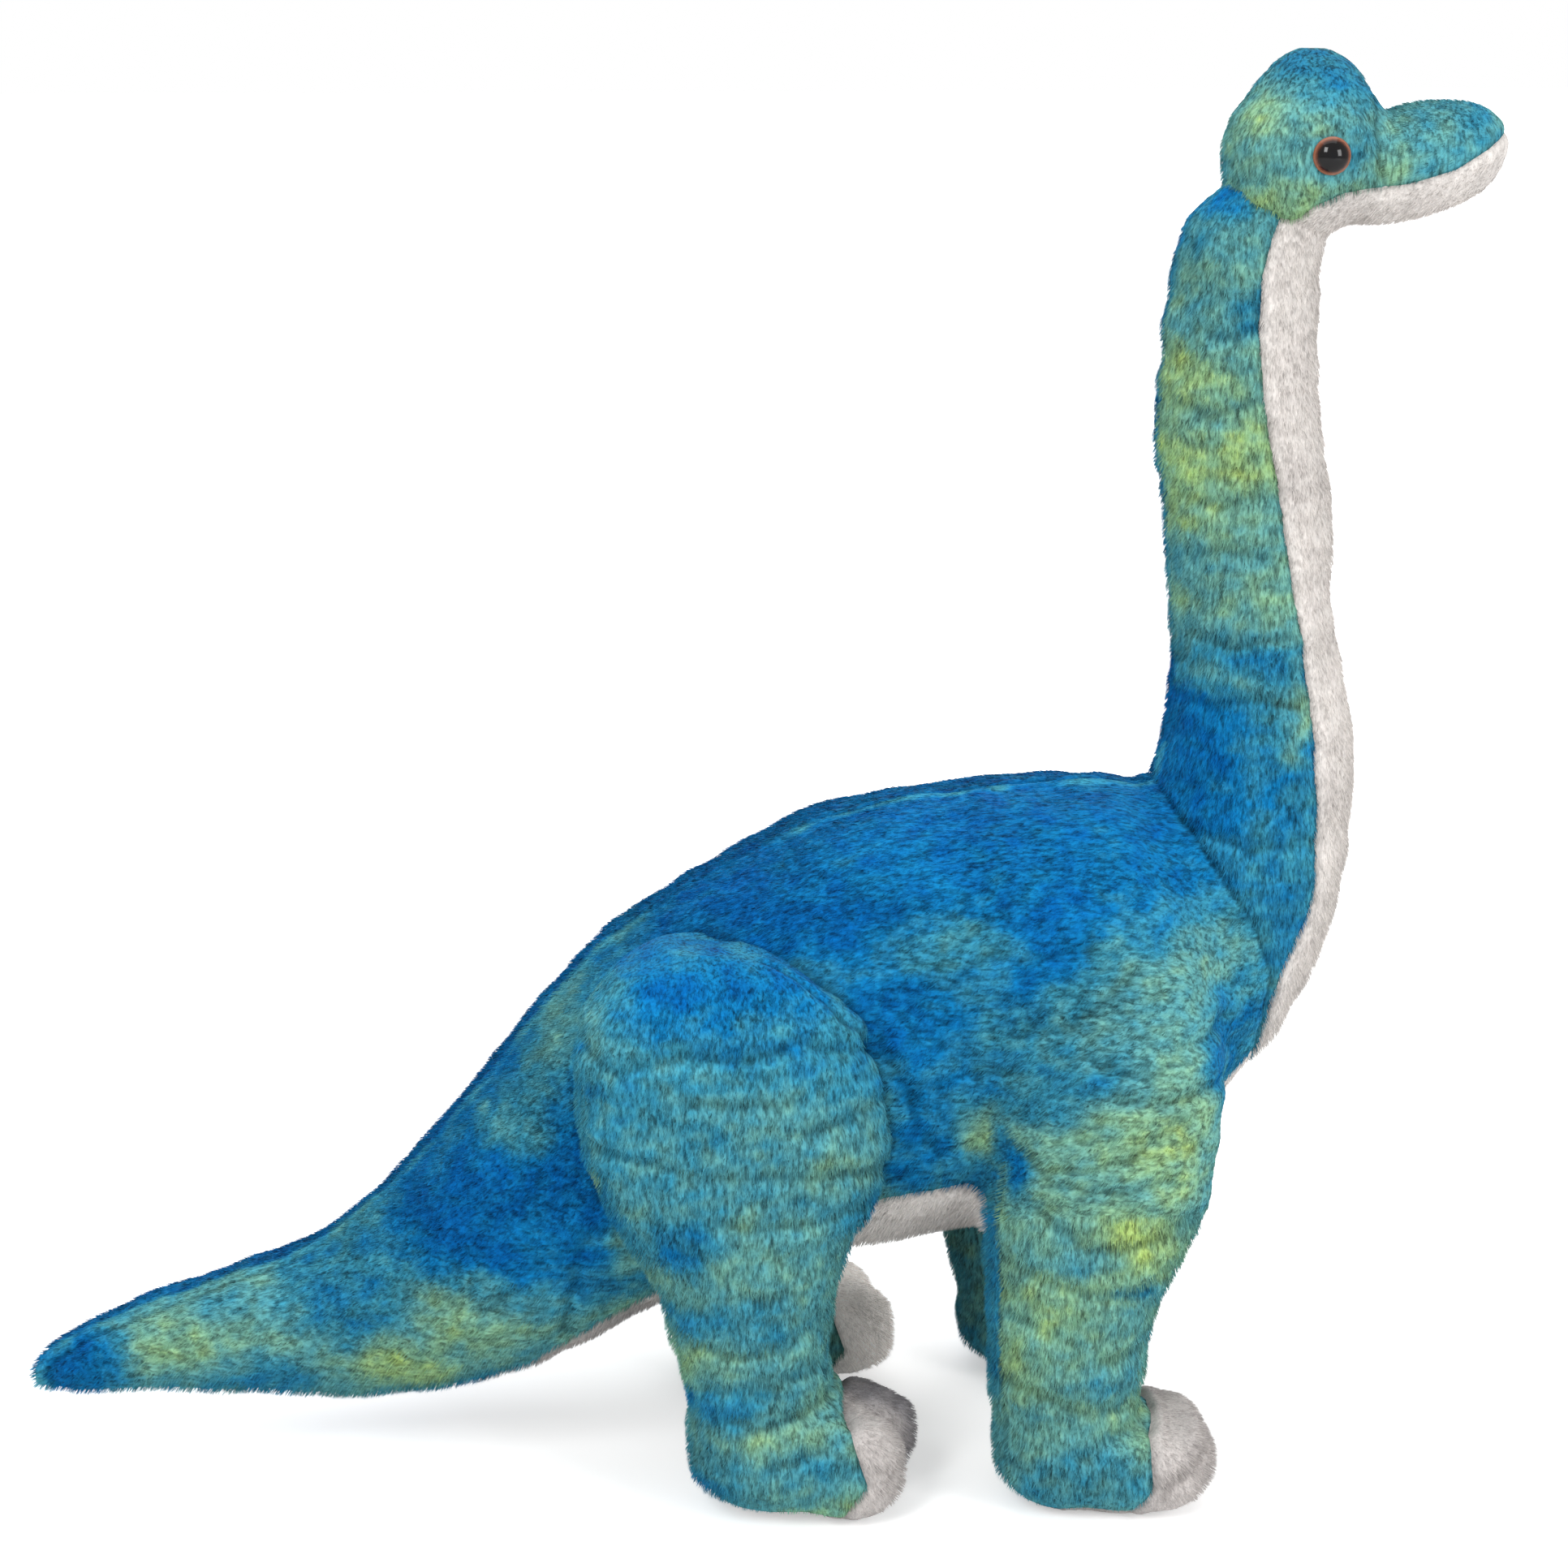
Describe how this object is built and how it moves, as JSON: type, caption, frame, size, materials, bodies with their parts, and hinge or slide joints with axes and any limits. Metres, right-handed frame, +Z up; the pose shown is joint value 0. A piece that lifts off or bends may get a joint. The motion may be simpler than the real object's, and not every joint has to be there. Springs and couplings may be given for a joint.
{
  "type": "stuffed dinosaur",
  "caption": "Stuffed long-necked dinosaur that stands on padded legs, with a neck, head, tail and legs that flex at their sewn roots and spring back.",
  "frame": {"origin": "On the floor, under the middle of the animal's length and width.", "axes": "+X towards the nose, +Y towards the animal's left side, +Z up."},
  "size_m": [0.446, 0.158, 0.4313],
  "materials": {
    "teal_plush": "matte",
    "grey_plush": "matte",
    "stuffing": "matte",
    "eye_plastic": "gloss",
    "washer_plastic": "satin"
  },
  "bodies": {
    "torso": {"belly_panel": "grey_plush", "body_left_panel": "teal_plush", "body_right_panel": "teal_plush", "chest_panel": "grey_plush", "neck_base_left_panel": "teal_plush", "neck_base_right_panel": "teal_plush", "neck_base_stuffing": "stuffing", "torso_stuffing": "stuffing"},
    "head": {"eye_left": "eye_plastic", "eye_right": "eye_plastic", "eye_washer_left": "washer_plastic", "eye_washer_right": "washer_plastic", "head_left_panel": "teal_plush", "head_right_panel": "teal_plush", "head_stuffing": "stuffing", "jaw_panel": "grey_plush", "snout_panel": "teal_plush"},
    "front_leg_left": {"front_leg_left_inner_panel": "teal_plush", "front_leg_left_outer_panel": "teal_plush", "front_leg_left_sole": "grey_plush", "front_leg_left_stuffing": "stuffing", "front_leg_left_toe_cap": "grey_plush"},
    "front_leg_right": {"front_leg_right_inner_panel": "teal_plush", "front_leg_right_outer_panel": "teal_plush", "front_leg_right_sole": "grey_plush", "front_leg_right_stuffing": "stuffing", "front_leg_right_toe_cap": "grey_plush"},
    "hind_leg_left": {"hind_leg_left_inner_panel": "teal_plush", "hind_leg_left_outer_panel": "teal_plush", "hind_leg_left_sole": "grey_plush", "hind_leg_left_stuffing": "stuffing", "hind_leg_left_toe_cap": "grey_plush"},
    "hind_leg_right": {"hind_leg_right_inner_panel": "teal_plush", "hind_leg_right_outer_panel": "teal_plush", "hind_leg_right_sole": "grey_plush", "hind_leg_right_stuffing": "stuffing", "hind_leg_right_toe_cap": "grey_plush"},
    "neck": {"neck_left_panel": "teal_plush", "neck_right_panel": "teal_plush", "neck_stuffing": "stuffing", "throat_panel": "grey_plush"},
    "tail": {"tail_left_panel": "teal_plush", "tail_right_panel": "teal_plush", "tail_stuffing": "stuffing"}
  },
  "joints": [
    {"name": "neck_bend", "type": "hinge", "parent": "torso", "child": "neck", "pos_m": [0.153, 0, 0.24], "axis": [0, 1, 0], "range_deg": [-15, 15], "stiffness_Nm_per_rad": 1.5},
    {"name": "head_nod", "type": "hinge", "parent": "neck", "child": "head", "pos_m": [0.148, 0, 0.372], "axis": [0, 1, 0], "range_deg": [-20, 15], "stiffness_Nm_per_rad": 0.2},
    {"name": "tail_swing", "type": "hinge", "parent": "torso", "child": "tail", "pos_m": [-0.075, 0, 0.057], "axis": [0, 0, 1], "range_deg": [-20, 20], "stiffness_Nm_per_rad": 0.3},
    {"name": "hind_leg_left_swing", "type": "hinge", "parent": "torso", "child": "hind_leg_left", "pos_m": [-0.008, 0.051, 0.13], "axis": [0, 1, 0], "range_deg": [-5, 15], "stiffness_Nm_per_rad": 5},
    {"name": "hind_leg_right_swing", "type": "hinge", "parent": "torso", "child": "hind_leg_right", "pos_m": [-0.008, -0.051, 0.13], "axis": [0, 1, 0], "range_deg": [-5, 15], "stiffness_Nm_per_rad": 5},
    {"name": "front_leg_left_swing", "type": "hinge", "parent": "torso", "child": "front_leg_left", "pos_m": [0.103, 0.051, 0.13], "axis": [0, 1, 0], "range_deg": [-15, 5], "stiffness_Nm_per_rad": 5},
    {"name": "front_leg_right_swing", "type": "hinge", "parent": "torso", "child": "front_leg_right", "pos_m": [0.103, -0.051, 0.13], "axis": [0, 1, 0], "range_deg": [-15, 5], "stiffness_Nm_per_rad": 5}
  ]
}
